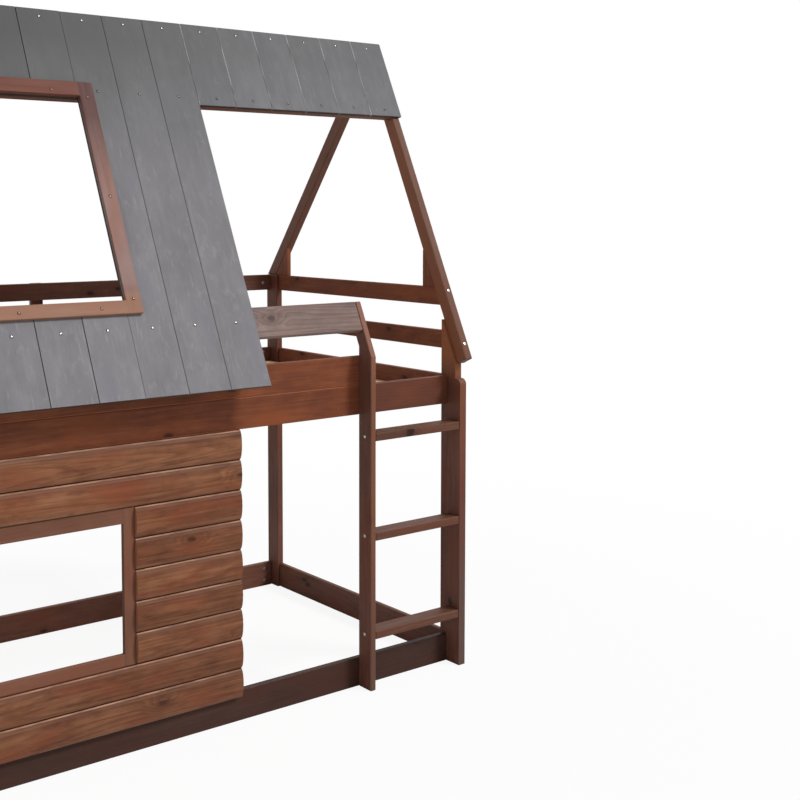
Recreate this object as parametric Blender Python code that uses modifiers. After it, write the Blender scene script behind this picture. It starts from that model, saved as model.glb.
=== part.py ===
"""House bunk bed: a stained pine frame with a log wall, a ladder and half a plank roof.

Metres, +Z up. X runs along the bed and Y from the front, the ladder side, to the rear.
While the pieces are placed, x = 0 is the middle of the bed, y = 0 is the outer face of
the front rails and z = 0 is the floor. An empty then carries all of them, so that the
world origin lies on the floor under the centre of the whole bed.
"""
import math

import bmesh
import bpy

# Sleeping space and stock sizes
POST_SPACING = 1.886
INNER_WIDTH = 1.010
RAIL_THICKNESS = 0.020
RAIL_WIDTH = 0.090
POST_THICKNESS = 0.026
POST_WIDTH = 0.067
POST_FRONT_STEP = 0.036
REAR_POST_OVERHANG = 0.005
END_RAIL_SETBACK = 0.0095
END_RAIL_THICKNESS = 0.017
GUARD_RAIL_WIDTH = 0.0575
FRONT_GUARD_WIDTH = 0.088
MID_POST_WIDTH = 0.042
MID_POST_OFFSET = 0.012

# Heights
DECK_RAIL_BOTTOM = 0.841
LOWER_GUARD_CLEARANCE = 0.084
UPPER_GUARD_CLEARANCE = 0.0805
KNEE_RISE = 0.0905
RIDGE_RISE = 1.0165

# Slatted deck
SLAT_COUNT = 12
SLAT_WIDTH = 0.065
SLAT_THICKNESS = 0.015
SLAT_DROP = 0.052
SLAT_SEAT = 0.001
LEDGER_WIDTH = 0.028
LEDGER_HEIGHT = 0.020
END_SLAT_MARGIN = 0.004

# Gables and roof slope
RIDGE_SETBACK = 0.427
REAR_FOOT_OVERHANG = 0.009
RAFTER_WIDTH = 0.044
RAFTER_THICKNESS = 0.029
RAFTER_TAIL = 0.035
RIDGE_FLAT = 0.016
FRONT_GUSSET_BASE = 0.057
REAR_GUSSET_BASE = 0.080

# Roof boards, purlins and the frame of the roof window
ROOF_OVERHANG = 0.017
EVEN_COLUMNS = 12
SHORT_COLUMNS = 6
TALL_COLUMNS = 3
WINDOW_COLUMNS = 3
EDGE_COLUMNS = 3
edge_board_share = 1.09
BOARD_THICKNESS = 0.010
BOARD_TOP_DROP = 0.021
GROOVE_DEPTH = 0.004
WINDOW_TOP_DROP = 0.302
WINDOW_SILL_RISE = 0.211
EAVE_TAIL = 0.059
PURLIN_WIDTH = 0.048
PURLIN_THICKNESS = 0.020
LOW_PURLIN_RISE = 0.179
LOW_PURLIN_WIDTH = 0.092
ROOF_STILE_WIDTH = 0.044
ROOF_HEAD_WIDTH = 0.044
ROOF_SILL_WIDTH = 0.038
ROOF_TRIM_THICKNESS = 0.012

# Ladder
LADDER_CLEAR_WIDTH = 0.337
STILE_THICKNESS = 0.020
STILE_DEPTH = 0.060
RAKED_STILE_WIDTH = 0.042
SHOULDER_DROP = 0.006
SHOULDER_RADIUS = 0.018
SHOULDER_STEPS = 4
RUNG_PITCH = 0.304
FIRST_RUNG_TOP = 0.182
RUNG_COUNT = 3
RUNG_DEPTH = 0.058
RUNG_THICKNESS = 0.025

# Log wall
WALL_FOOT_LAP = 0.015
WALL_HEAD_LAP = 0.004
LOG_ROWS = 9
ROWS_BELOW_WINDOW = 2
ROWS_BESIDE_WINDOW = 5
LOG_EDGE_THICKNESS = 0.014
LOG_BULGE = 0.013
LOG_ARC_STEPS = 8
LEFT_LOG_LENGTH = 0.326
RIGHT_LOG_LENGTH = 0.328
WALL_WINDOW_WIDTH = 0.378
WALL_STILE_WIDTH = 0.033
WALL_HEAD_WIDTH = 0.042
WALL_SILL_WIDTH = 0.033
WALL_TRIM_THICKNESS = 0.014
BATTEN_WIDTH = 0.040
BATTEN_SETBACK = 0.012

# Fits
GAP = 0.0003
EASED_EDGE = 0.0022
FINE_EDGE = 0.0012
MERGE = 0.00005

# Planes that flat outlines are drawn in
SIDE_VIEW = (math.pi / 2, 0, math.pi / 2)
FRONT_VIEW = (math.pi / 2, 0, 0)
PLAN_VIEW = (0, 0, 0)

# Heights and depths that follow
deck_rail_top = DECK_RAIL_BOTTOM + RAIL_WIDTH
lower_guard_bottom = deck_rail_top + LOWER_GUARD_CLEARANCE
upper_guard_bottom = lower_guard_bottom + GUARD_RAIL_WIDTH + UPPER_GUARD_CLEARANCE
upper_guard_top = upper_guard_bottom + GUARD_RAIL_WIDTH
post_back = POST_WIDTH - POST_FRONT_STEP
rear_rail_inner = RAIL_THICKNESS + INNER_WIDTH
rear_rail_outer = rear_rail_inner + RAIL_THICKNESS
rear_post_back = rear_rail_outer + REAR_POST_OVERHANG
rear_post_front = rear_post_back - POST_WIDTH
wall_bottom = RAIL_WIDTH - WALL_FOOT_LAP
row_height = (DECK_RAIL_BOTTOM + WALL_HEAD_LAP - wall_bottom) / LOG_ROWS

# The roof's front plane runs from the knee of the ladder's stile to the ridge
knee_height = deck_rail_top + KNEE_RISE
ridge_height = knee_height + RIDGE_RISE
knee_drop = math.hypot(RIDGE_RISE, RIDGE_SETBACK + STILE_DEPTH)
front_slope = math.atan2(RIDGE_RISE, RIDGE_SETBACK + STILE_DEPTH)
rear_run = rear_post_back + REAR_FOOT_OVERHANG - RIDGE_SETBACK
rear_slope = math.atan2(ridge_height - upper_guard_top, rear_run)
cos_front, sin_front, tan_front = (turn(front_slope) for turn in (math.cos, math.sin, math.tan))
cos_rear, sin_rear, tan_rear = (turn(rear_slope) for turn in (math.cos, math.sin, math.tan))
window_bottom_drop = knee_drop - WINDOW_SILL_RISE
low_purlin_drop = knee_drop - LOW_PURLIN_RISE
eave_drop = knee_drop + EAVE_TAIL

# Places along the bed that follow
post_inner = POST_SPACING / 2
post_outer = post_inner + POST_THICKNESS
end_rail_inner = post_inner + END_RAIL_SETBACK
end_rail_outer = end_rail_inner + END_RAIL_THICKNESS
rafter_outer = end_rail_inner + RAFTER_THICKNESS
roof_reach = post_outer + ROOF_OVERHANG
rail_reach = post_inner - GAP
stile_inner = post_inner - LADDER_CLEAR_WIDTH
stile_outer = stile_inner - STILE_THICKNESS
board_pitch = 2 * roof_reach / (EVEN_COLUMNS + EDGE_COLUMNS * edge_board_share)
tall_right = roof_reach - SHORT_COLUMNS * board_pitch
window_right = tall_right - TALL_COLUMNS * board_pitch
window_left = window_right - WINDOW_COLUMNS * board_pitch
wall_left = -rail_reach
wall_trim_left = wall_left + LEFT_LOG_LENGTH
wall_trim_right = wall_trim_left + WALL_WINDOW_WIDTH + 2 * WALL_STILE_WIDTH
wall_right = wall_trim_right + RIGHT_LOG_LENGTH

FINISHES = {
    "dark wood": ((0.085, 0.034, 0.022), 0.42),
    "red wood": ((0.135, 0.048, 0.028), 0.42),
    "light wood": ((0.30, 0.13, 0.09), 0.45),
    "greyed wood": ((0.24, 0.17, 0.145), 0.55),
    "log wood": ((0.17, 0.070, 0.036), 0.50),
    "grey wash": ((0.22, 0.22, 0.225), 0.70),
    "bare pine": ((0.68, 0.49, 0.33), 0.60),
}


def clear_scene():
    """Removes whatever the scene holds."""
    for item in list(bpy.data.objects):
        bpy.data.objects.remove(item, do_unlink=True)


def add_collection(name):
    """A collection in the scene."""
    collection = bpy.data.collections.new(name)
    bpy.context.scene.collection.children.link(collection)
    return collection


def add_carrier(name, location, rotation, parent):
    """An empty that carries pieces."""
    carrier = bpy.data.objects.new(name, None)
    carrier.location = location
    carrier.rotation_euler = rotation
    carrier.parent = parent
    pieces.objects.link(carrier)
    return carrier


def add_finish(piece, family):
    """Gives a piece its own Principled BSDF material."""
    colour, roughness = FINISHES[family]
    material = bpy.data.materials.new(piece.name + "_finish")
    material.use_nodes = True
    shader = material.node_tree.nodes["Principled BSDF"]
    shader.inputs["Base Color"].default_value = (*colour, 1)
    shader.inputs["Roughness"].default_value = roughness
    shader.inputs["Metallic"].default_value = 0
    material.diffuse_color = (*colour, 1)
    piece.data.materials.append(material)


def ease(piece, width):
    """Takes the sharp arrises off a piece."""
    weld = piece.modifiers.new("weld", "WELD")
    weld.merge_threshold = MERGE
    bevel = piece.modifiers.new("eased edges", "BEVEL")
    bevel.width = width
    bevel.segments = 1
    bevel.limit_method = "ANGLE"
    bevel.angle_limit = math.radians(32)


def block_mesh(name, boxes):
    """A mesh of one or more closed boxes, each given by its low and high corners."""
    mesh = bmesh.new()
    for low, high in boxes:
        verts = bmesh.ops.create_cube(mesh, size=1)["verts"]
        bmesh.ops.scale(mesh, verts=verts, vec=[high[axis] - low[axis] for axis in range(3)])
        middle = [(low[axis] + high[axis]) / 2 for axis in range(3)]
        bmesh.ops.translate(mesh, verts=verts, vec=middle)
    data = bpy.data.meshes.new(name)
    mesh.to_mesh(data)
    mesh.free()
    return data


def board(name, family, low, high, parent, edge=EASED_EDGE):
    """One sawn board between its low and high corners."""
    centre = [(low[axis] + high[axis]) / 2 for axis in range(3)]
    half = [(high[axis] - low[axis]) / 2 for axis in range(3)]
    piece = bpy.data.objects.new(name, block_mesh(name, [([-size for size in half], half)]))
    piece.location = centre
    piece.parent = parent
    pieces.objects.link(piece)
    add_finish(piece, family)
    ease(piece, edge)


def cut_board(name, family, outlines, view, location, thickness, parent, edge=EASED_EDGE):
    """A board of one thickness cut to an outline; a second outline inside the first is a hole."""
    curve = bpy.data.curves.new(name, "CURVE")
    curve.dimensions = "2D"
    curve.fill_mode = "BOTH"
    curve.extrude = thickness / 2
    for outline in outlines:
        spline = curve.splines.new("POLY")
        spline.points.add(len(outline) - 1)
        for spot, (across, up) in zip(spline.points, outline):
            spot.co = (across, up, 0, 1)
        spline.use_cyclic_u = True
    piece = bpy.data.objects.new(name, curve)
    piece.location = location
    piece.rotation_euler = view
    piece.parent = parent
    pieces.objects.link(piece)
    add_finish(piece, family)
    if edge:
        ease(piece, edge)
    else:
        weld = piece.modifiers.new("weld", "WELD")
        weld.merge_threshold = MERGE


def end_board(name, family, outline, span, edge=EASED_EDGE):
    """A board across the bed with an outline of (y, z) points, between two places along X."""
    cut_board(name, family, [outline], SIDE_VIEW, (sum(span) / 2, 0, 0), span[1] - span[0], bed, edge)


def both_ends(low_x, high_x):
    """The span of a piece at the right end, and of its match at the left end."""
    return (("right", (low_x, high_x)), ("left", (-high_x, -low_x)))


def rectangle(left, right, bottom, top):
    """The outline of a rectangle."""
    return [(left, bottom), (right, bottom), (right, top), (left, top)]


def front_inner(z):
    """Where the lower edge of a front rafter lies at height z."""
    return RIDGE_SETBACK - (ridge_height - z) / tan_front + RAFTER_WIDTH / sin_front


def front_inner_height(y):
    """How high the lower edge of a front rafter is at y."""
    return ridge_height - (RIDGE_SETBACK + RAFTER_WIDTH / sin_front - y) * tan_front


def roof_height(y):
    """How high the roof's plane is at y."""
    return ridge_height - (RIDGE_SETBACK - y) * tan_front


def rear_inner(z):
    """Where the lower edge of a rear rafter lies at height z."""
    return RIDGE_SETBACK + (ridge_height - z) / tan_rear - RAFTER_WIDTH / sin_rear


def make_front_posts():
    """Posts cut to the rafters on top. The right one widens below the deck into a ladder stile."""
    slant = [(post_back, 0), (post_back, front_inner_height(post_back - GAP)),
             (-POST_FRONT_STEP, front_inner_height(-POST_FRONT_STEP - GAP))]
    shoulder_height = deck_rail_top - SHOULDER_DROP
    radius = min(SHOULDER_RADIUS, STILE_DEPTH - POST_FRONT_STEP - GAP)
    shoulder = [(-POST_FRONT_STEP, shoulder_height)]
    for step in range(SHOULDER_STEPS + 1):
        turn = step / SHOULDER_STEPS * math.pi / 2
        shoulder.append((-STILE_DEPTH + radius * (1 - math.sin(turn)),
                         shoulder_height - radius * (1 - math.cos(turn))))
    feet = {"right": shoulder + [(-STILE_DEPTH, 0)], "left": [(-POST_FRONT_STEP, 0)]}
    for side, span in both_ends(post_inner, post_outer):
        end_board(f"front_{side}_post", "dark wood", slant + feet[side], span)


def make_rear_posts():
    """Plain posts as high as the upper guard rails."""
    for side, span in both_ends(post_inner, post_outer):
        board(f"rear_{side}_post", "dark wood", (span[0], rear_post_front, 0),
              (span[1], rear_post_back, upper_guard_top), bed)


def make_long_rails():
    """Rails between the posts along the bed, at the floor and at the deck."""
    for level, bottom in (("bottom", 0), ("deck", DECK_RAIL_BOTTOM)):
        top = bottom + RAIL_WIDTH - GAP
        board(f"front_{level}_rail", "red wood", (-rail_reach, 0, bottom),
              (rail_reach, RAIL_THICKNESS, top), bed)
        board(f"rear_{level}_rail", "dark wood", (-rail_reach, rear_rail_inner, bottom),
              (rail_reach, rear_rail_outer, top), bed)


def make_long_guards():
    """The front guard board, and two rear guard rails with a post behind their middle."""
    board("front_guard_board", "red wood", (-rail_reach, 0, deck_rail_top),
          (stile_inner, RAIL_THICKNESS, deck_rail_top + FRONT_GUARD_WIDTH), bed)
    for level, bottom in (("lower", lower_guard_bottom), ("upper", upper_guard_bottom)):
        board(f"rear_{level}_guard", "dark wood", (-rail_reach, rear_rail_inner, bottom),
              (rail_reach, rear_rail_outer, bottom + GUARD_RAIL_WIDTH), bed)
    left = MID_POST_OFFSET - MID_POST_WIDTH / 2
    front = rear_rail_outer + GAP
    board("rear_mid_post", "dark wood", (left, front, DECK_RAIL_BOTTOM),
          (left + MID_POST_WIDTH, front + RAIL_THICKNESS, upper_guard_top), bed)


def make_end_rails():
    """Four rails across each end; the uppermost is cut to the rafter that it meets."""
    front, rear = post_back + GAP, rear_post_front - GAP
    low, high = upper_guard_bottom, upper_guard_top
    cut = [(front_inner(low) + GAP, low), (rear, low), (rear, high), (front_inner(high) + GAP, high)]
    for side, span in both_ends(end_rail_inner, end_rail_outer):
        for level, bottom, height in (("bottom_rail", 0, RAIL_WIDTH),
                                      ("deck_rail", DECK_RAIL_BOTTOM, RAIL_WIDTH),
                                      ("lower_guard", lower_guard_bottom, GUARD_RAIL_WIDTH)):
            board(f"{side}_{level}", "red wood", (span[0], front, bottom),
                  (span[1], rear, bottom + height), bed)
        end_board(f"{side}_upper_guard", "red wood", cut, span)


def make_rafters():
    """Two unlike slopes that meet in a plumb joint, with their tips cut level at the ridge."""
    seat = upper_guard_top + GAP
    joint = RIDGE_SETBACK - GAP / 2
    length = knee_drop + RAFTER_TAIL
    foot = (RIDGE_SETBACK - length * cos_front, ridge_height - length * sin_front)
    tip = ridge_height - RIDGE_FLAT
    front = [(joint, tip), (joint - RIDGE_FLAT / tan_front, tip), foot,
             (foot[0] + RAFTER_WIDTH * sin_front, foot[1] - RAFTER_WIDTH * cos_front),
             (joint, front_inner_height(joint))]
    rear = [(joint + GAP + RIDGE_FLAT / tan_rear, tip), (joint + GAP, tip),
            (joint + GAP, ridge_height - RAFTER_WIDTH / cos_rear),
            (rear_inner(seat), seat), (rear_inner(seat) + RAFTER_WIDTH / sin_rear, seat)]
    for side, span in both_ends(end_rail_inner, rafter_outer):
        end_board(f"{side}_front_rafter", "dark wood", front, span)
        end_board(f"{side}_rear_rafter", "dark wood", rear, span)


def make_gussets():
    """Triangles on the uppermost end rails that brace the rafters' feet."""
    seat = upper_guard_top + GAP
    front_toe, rear_toe = front_inner(seat) + GAP, rear_inner(seat) - GAP
    front_edge, rear_edge = front_toe + FRONT_GUSSET_BASE, rear_toe - REAR_GUSSET_BASE
    front = [(front_toe, seat), (front_edge, seat), (front_edge, seat + FRONT_GUSSET_BASE * tan_front)]
    rear = [(rear_edge, seat), (rear_toe, seat), (rear_edge, seat + REAR_GUSSET_BASE * tan_rear)]
    for side, span in both_ends(end_rail_inner, end_rail_outer):
        end_board(f"{side}_front_gusset", "dark wood", front, span, FINE_EDGE)
        end_board(f"{side}_rear_gusset", "dark wood", rear, span, FINE_EDGE)


def make_slat_base():
    """Slats let a little into a ledger along each deck rail, all joined into one base."""
    slat_high = deck_rail_top - SLAT_DROP
    slat_low = slat_high - SLAT_THICKNESS
    front, rear = RAIL_THICKNESS + GAP, rear_rail_inner - GAP
    ledger_low, ledger_high = slat_low + SLAT_SEAT - LEDGER_HEIGHT, slat_low + SLAT_SEAT
    ledgers = [((-rail_reach, front, ledger_low), (rail_reach, front + LEDGER_WIDTH, ledger_high)),
               ((-rail_reach, rear - LEDGER_WIDTH, ledger_low), (rail_reach, rear, ledger_high))]
    outermost = post_inner - END_SLAT_MARGIN - SLAT_WIDTH / 2
    slats = []
    for index in range(SLAT_COUNT):
        left = outermost * (2 * index / (SLAT_COUNT - 1) - 1) - SLAT_WIDTH / 2
        slats.append(((left, front + SLAT_SEAT, slat_low), (left + SLAT_WIDTH, rear - SLAT_SEAT, slat_high)))
    base = bpy.data.objects.new("slat_base", block_mesh("slat_base", ledgers))
    base.parent = bed
    pieces.objects.link(base)
    add_finish(base, "bare pine")
    cutter = bpy.data.objects.new("slats", block_mesh("slats", slats))
    cutter.parent = bed
    cutter.hide_render = True
    cutter.display_type = "WIRE"
    cutters.objects.link(cutter)
    join = base.modifiers.new("slats", "BOOLEAN")
    join.operation = "UNION"
    join.object = cutter


def make_purlins():
    """Three boards between the gables, flush with the rafters and under the roof boards."""
    reach = end_rail_inner - GAP
    for name, family, drop, width, right in (
            ("ridge_purlin", "dark wood", BOARD_TOP_DROP, PURLIN_WIDTH, reach),
            ("mid_purlin", "dark wood", WINDOW_TOP_DROP - PURLIN_WIDTH, PURLIN_WIDTH, reach),
            ("low_purlin", "greyed wood", low_purlin_drop, LOW_PURLIN_WIDTH, stile_outer - GAP)):
        board(name, family, (-reach, -drop - width, -PURLIN_THICKNESS), (right, -drop, 0), roof)


def grooved_panel(name, edges, top, bottom):
    """Boards joined edge to edge, with a groove along each joint."""
    low, high = GAP, GAP + BOARD_THICKNESS
    left, right = edges[-1] + GAP, edges[0] - GAP
    outline = [(left, low), (right, low), (right, high)]
    for seam in edges[1:-1]:
        outline += [(seam + FINE_EDGE, high), (seam, high - GROOVE_DEPTH), (seam - FINE_EDGE, high)]
    outline.append((left, high))
    cut_board(name, "grey wash", [outline], FRONT_VIEW, (0, -(top + bottom) / 2, 0), bottom - top, roof, None)


def make_roof_boards():
    """Short boards over the ladder, tall ones beside the window, joined ones above and below it."""
    edges = [roof_reach - index * board_pitch for index in range(EVEN_COLUMNS + 1)]
    edges += [window_left - index * board_pitch * edge_board_share for index in range(1, EDGE_COLUMNS + 1)]
    first_window = SHORT_COLUMNS + TALL_COLUMNS
    last_window = first_window + WINDOW_COLUMNS
    for index, (right, left) in enumerate(zip(edges, edges[1:])):
        if first_window <= index < last_window:
            continue
        bottom = WINDOW_TOP_DROP if index < SHORT_COLUMNS else eave_drop
        board(f"roof_board_{index + 1:02d}", "grey wash", (left + GAP, -bottom, GAP),
              (right - GAP, -BOARD_TOP_DROP, GAP + BOARD_THICKNESS), roof, FINE_EDGE)
    window_edges = edges[first_window:last_window + 1]
    grooved_panel("roof_boards_above_window", window_edges, BOARD_TOP_DROP, WINDOW_TOP_DROP)
    grooved_panel("roof_boards_below_window", window_edges, window_bottom_drop, eave_drop)


def make_roof_window_frame():
    """A flat frame on the boards round the roof window."""
    outer = rectangle(window_left - ROOF_STILE_WIDTH, window_right + ROOF_STILE_WIDTH,
                      -window_bottom_drop - ROOF_SILL_WIDTH, ROOF_HEAD_WIDTH - WINDOW_TOP_DROP)
    opening = rectangle(window_left, window_right, -window_bottom_drop, -WINDOW_TOP_DROP)
    middle = BOARD_THICKNESS + 2 * GAP + ROOF_TRIM_THICKNESS / 2
    cut_board("roof_window_frame", "light wood", [outer, opening], PLAN_VIEW, (0, 0, middle),
              ROOF_TRIM_THICKNESS, roof, FINE_EDGE)


def make_ladder():
    """A stile that bends back in the roof's plane and ends the low purlin, and flat treads."""
    back, front = -GAP, -STILE_DEPTH
    tip = (RIDGE_SETBACK - low_purlin_drop * cos_front, ridge_height - low_purlin_drop * sin_front)
    stile = [(back, 0), (back, roof_height(back - RAKED_STILE_WIDTH / sin_front)),
             (tip[0] + RAKED_STILE_WIDTH * sin_front, tip[1] - RAKED_STILE_WIDTH * cos_front), tip,
             (front, roof_height(front)), (front, 0)]
    end_board("ladder_stile", "dark wood", stile, (stile_outer, stile_inner))
    tread_front = front + (STILE_DEPTH - RUNG_DEPTH) / 2
    for index in range(RUNG_COUNT):
        top = FIRST_RUNG_TOP + index * RUNG_PITCH
        board(f"ladder_rung_{index + 1}", "red wood",
              (stile_inner + GAP, tread_front, top - RUNG_THICKNESS),
              (rail_reach, tread_front + RUNG_DEPTH, top), bed)


def logs(name, first_row, row_count, left, right):
    """Logs one above another: a flat back, and a rounded front for each row."""
    bottom = wall_bottom + first_row * row_height + GAP / 2
    top = bottom + row_count * row_height - GAP
    height = (top - bottom) / row_count
    outline = [(-GAP, bottom), (-GAP, top)]
    for row in reversed(range(row_count)):
        middle = bottom + (row + 1 / 2) * height
        first_step = 0 if row == row_count - 1 else 1
        for step in range(first_step, LOG_ARC_STEPS + 1):
            turn = step / LOG_ARC_STEPS * math.pi
            outline.append((-LOG_EDGE_THICKNESS - LOG_BULGE * math.sin(turn),
                            middle + height / 2 * math.cos(turn)))
    end_board(name, "log wood", outline, (left, right), None)


def make_log_wall():
    """Nine rows of logs on the front rails, shorter on both sides of a framed window."""
    rows_under_top = ROWS_BELOW_WINDOW + ROWS_BESIDE_WINDOW
    logs("logs_below_window", 0, ROWS_BELOW_WINDOW, wall_left, wall_right)
    logs("logs_right_of_window", ROWS_BELOW_WINDOW, ROWS_BESIDE_WINDOW, wall_trim_right + GAP, wall_right)
    logs("logs_left_of_window", ROWS_BELOW_WINDOW, ROWS_BESIDE_WINDOW, wall_left, wall_trim_left - GAP)
    logs("logs_above_window", rows_under_top, LOG_ROWS - rows_under_top, wall_left, wall_right)
    low = wall_bottom + ROWS_BELOW_WINDOW * row_height + GAP
    high = wall_bottom + rows_under_top * row_height - GAP
    outer = rectangle(wall_trim_left, wall_trim_right, low, high)
    opening = rectangle(wall_trim_left + WALL_STILE_WIDTH, wall_trim_right - WALL_STILE_WIDTH,
                        low + WALL_SILL_WIDTH, high - WALL_HEAD_WIDTH)
    cut_board("wall_window_frame", "log wood", [outer, opening], FRONT_VIEW,
              (0, -GAP - WALL_TRIM_THICKNESS / 2, 0), WALL_TRIM_THICKNESS, bed, FINE_EDGE)


def make_battens():
    """Uprights between the front rails that the logs are fixed to from behind."""
    places = (wall_left + BATTEN_SETBACK, wall_trim_left - BATTEN_WIDTH / 2,
              wall_trim_right - BATTEN_WIDTH / 2, wall_right - BATTEN_SETBACK - BATTEN_WIDTH)
    for index, left in enumerate(places):
        board(f"wall_batten_{index + 1}", "dark wood", (left, 0, RAIL_WIDTH),
              (left + BATTEN_WIDTH, RAIL_THICKNESS, DECK_RAIL_BOTTOM - GAP), bed)


clear_scene()
pieces = add_collection("house_bunk_bed")
cutters = add_collection("cutters")
front_most = RIDGE_SETBACK - eave_drop * cos_front - (GAP + BOARD_THICKNESS) * sin_front
rear_most = rear_rail_outer + GAP + RAIL_THICKNESS
bed = add_carrier("bed", (0, -(front_most + rear_most) / 2, 0), (0, 0, 0), None)
roof = add_carrier("roof", (0, RIDGE_SETBACK, ridge_height), (front_slope, 0, 0), bed)

make_front_posts()
make_rear_posts()
make_long_rails()
make_long_guards()
make_end_rails()
make_rafters()
make_gussets()
make_slat_base()
make_purlins()
make_roof_boards()
make_roof_window_frame()
make_ladder()
make_log_wall()
make_battens()
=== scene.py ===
import math

import bmesh
import bpy
from mathutils import Matrix, Vector


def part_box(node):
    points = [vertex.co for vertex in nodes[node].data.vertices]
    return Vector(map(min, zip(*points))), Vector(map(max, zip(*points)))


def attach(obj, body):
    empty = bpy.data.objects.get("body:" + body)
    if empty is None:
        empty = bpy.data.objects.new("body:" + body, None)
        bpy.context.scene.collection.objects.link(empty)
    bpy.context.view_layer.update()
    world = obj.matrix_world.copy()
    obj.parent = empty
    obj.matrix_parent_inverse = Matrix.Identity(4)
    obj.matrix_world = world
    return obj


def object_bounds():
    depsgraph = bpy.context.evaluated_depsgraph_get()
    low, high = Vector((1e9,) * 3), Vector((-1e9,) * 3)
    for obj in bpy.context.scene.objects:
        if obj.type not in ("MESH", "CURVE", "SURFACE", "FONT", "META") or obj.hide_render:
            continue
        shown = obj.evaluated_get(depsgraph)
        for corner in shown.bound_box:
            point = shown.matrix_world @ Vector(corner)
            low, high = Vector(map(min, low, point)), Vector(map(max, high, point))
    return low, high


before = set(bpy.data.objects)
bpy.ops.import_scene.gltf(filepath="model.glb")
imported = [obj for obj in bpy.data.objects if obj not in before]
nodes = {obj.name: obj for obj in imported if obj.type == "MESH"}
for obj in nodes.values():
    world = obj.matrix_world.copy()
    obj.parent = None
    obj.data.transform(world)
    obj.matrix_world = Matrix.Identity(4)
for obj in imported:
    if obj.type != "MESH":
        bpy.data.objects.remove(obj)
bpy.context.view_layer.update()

ACROSS = Vector((1, 0, 0))
BACK = Vector((0, 1, 0))
UP = Vector((0, 0, 1))

# Camera, from the photograph
EYE = (-1.6554, -3.43345, 1.4583)
HEADING = 37.513
DOWNWARD = 3.942
LENS = 55.556
SENSOR_WIDTH = 36.0
SHIFT_ACROSS = 0.045
SHIFT_UP = -0.1312

# The world's strength as it lights the object, and as the camera and reflections see it
WORLD_LIGHT = 0.32
WORLD_SEEN = 1.0

# A name that ends in FADE holds the two values between which something fades, then its share
# before and after them. A name that ends in NOISE holds a noise's stretch along the grain, its
# scale, detail and roughness. Colours are sRGB, 0-255. Lengths are metres.

# Floor: half its width, how far it lies below the object, and how its shadow fades to the
# camera's white with the distance from the object
FLOOR_REACH = 14.0
FLOOR_DROP = 0.0005
FLOOR_COLOUR = (250, 250, 250)
FLOOR_ROUGHNESS = 0.9
FLOOR_WHITE_FADE = (1.2, 4.0, 0.90, 1.0)

# Roof slopes, degrees from level
FRONT_SLOPE = 64.4
REAR_SLOPE = 52.4

# Roof boards, log rows and the uprights of the two window frames
BOARD_PITCH = 0.12914
LOG_PITCH = 0.0856
WALL_STILE = 0.033
ROOF_STILE = 0.044

# How far the boards' top edge lies down the slope from the ridge
BOARD_TOP_DROP = 0.021

# Slats: their number, the middle of the outermost ones, and the ledgers' middle from their ends
SLAT_COUNT = 12
END_SLAT = 0.9065
LEDGER_INSET = 0.014

# Rows of roof screws and rafter screws, down the slope from the ridge
SCREW_ROWS = (0.045, 0.278, 0.994)
RAFTER_SCREWS = (0.929, 1.112)

# Roof window's screws: down from its top edge, down from its middle, up from its bottom edge,
# and in from its left and right edges
TOP_CORNER_SCREW = 0.048
HEAD_SCREW = 0.029
MIDDLE_SCREW_DROP = 0.006
LOW_CORNER_SCREW = 0.041
SILL_SCREW = 0.017
HEAD_SCREW_INSET = 0.125
SILL_SCREW_INSETS = (0.134, 0.1185)

# Bolts and barrel nuts in the rails. A rail wider than WIDE_RAIL has two bolts at each end.
NUT_INSET = 0.033
BOLT_SPREAD = 0.022
DECK_BOLT_RISE = 0.028
WIDE_RAIL = 0.07

# Fastener heads
SCREW_RADIUS = 0.0044
BIG_SCREW_RADIUS = 0.0052
SCREW_HEIGHT = 0.0016
NUT_RADIUS = 0.0060
NUT_HEIGHT = 0.0008
BOLT_RADIUS = 0.0075
BOLT_HEIGHT = 0.0040
SINK = 0.0002
HEAD_SIDES = 20
HEAD_TURN = 2.4

# Outline of a head above its seat, as shares of its radius and height
SEAT_SHARE = 0.96
DOME_SHARES = ((1.0, 0.35), (0.82, 0.78), (0.5, 0.96), (0.2, 1.0))

# Driver slots: how many cross in a head, and their width as a share of its radius. Their length
# and depth are shares of its radius and height.
SCREW_SLOTS = (2, 0.26)
BIG_SCREW_SLOTS = (2, 0.22)
NUT_SLOTS = (1, 0.30)
BOLT_SLOTS = (3, 0.75)
SLOT_LENGTH_SHARE = 1.15
SLOT_DEPTH_SHARE = 1.1

# Steel: the dull and the bright tone of each finish, and their places on the tarnish's ramp
WORN_STEEL = ((96, 96, 98), (158, 158, 160))
TARNISHED_STEEL = ((50, 50, 52), (94, 94, 96))
BRIGHT_STEEL = ((176, 174, 170), (222, 220, 216))
DULLED_STEEL = ((60, 46, 38), (112, 88, 72))
ZINC_STEEL = ((140, 138, 134), (190, 188, 184))
STEEL_TONES = (0.3, 0.7)
TARNISH_SCALE = 160.0
BRUSHING = (900.0, 3.0, 0.6)
BRUSHED_ROUGHNESS_FADE = (0.3, 0.7, 0.25, 0.45)
BRUSHING_DEPTH = 0.0001
BRUSHING_STRENGTH = 0.3

# Shares of a head's radius at which its dark rim of painted shade begins, and the rim's look
WORN_RIM_SHARE = 0.62
DULLED_RIM_SHARE = 0.7
CLEAN_RIM_SHARE = 0.9
RIM_WIDTH = 0.0006
RIM_STRENGTH = 0.9
RIM_SHADE_COLOUR = (44, 40, 38)

# How far apart the patterns of two nodes, of two lanes, and of uprights and level pieces lie
SEED_SHIFT = (1.731, 0.877, 1.193)
LANE_SHIFT = 3.17
UPRIGHT_SHIFT = (4.7, 2.9, 0.0)

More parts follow.
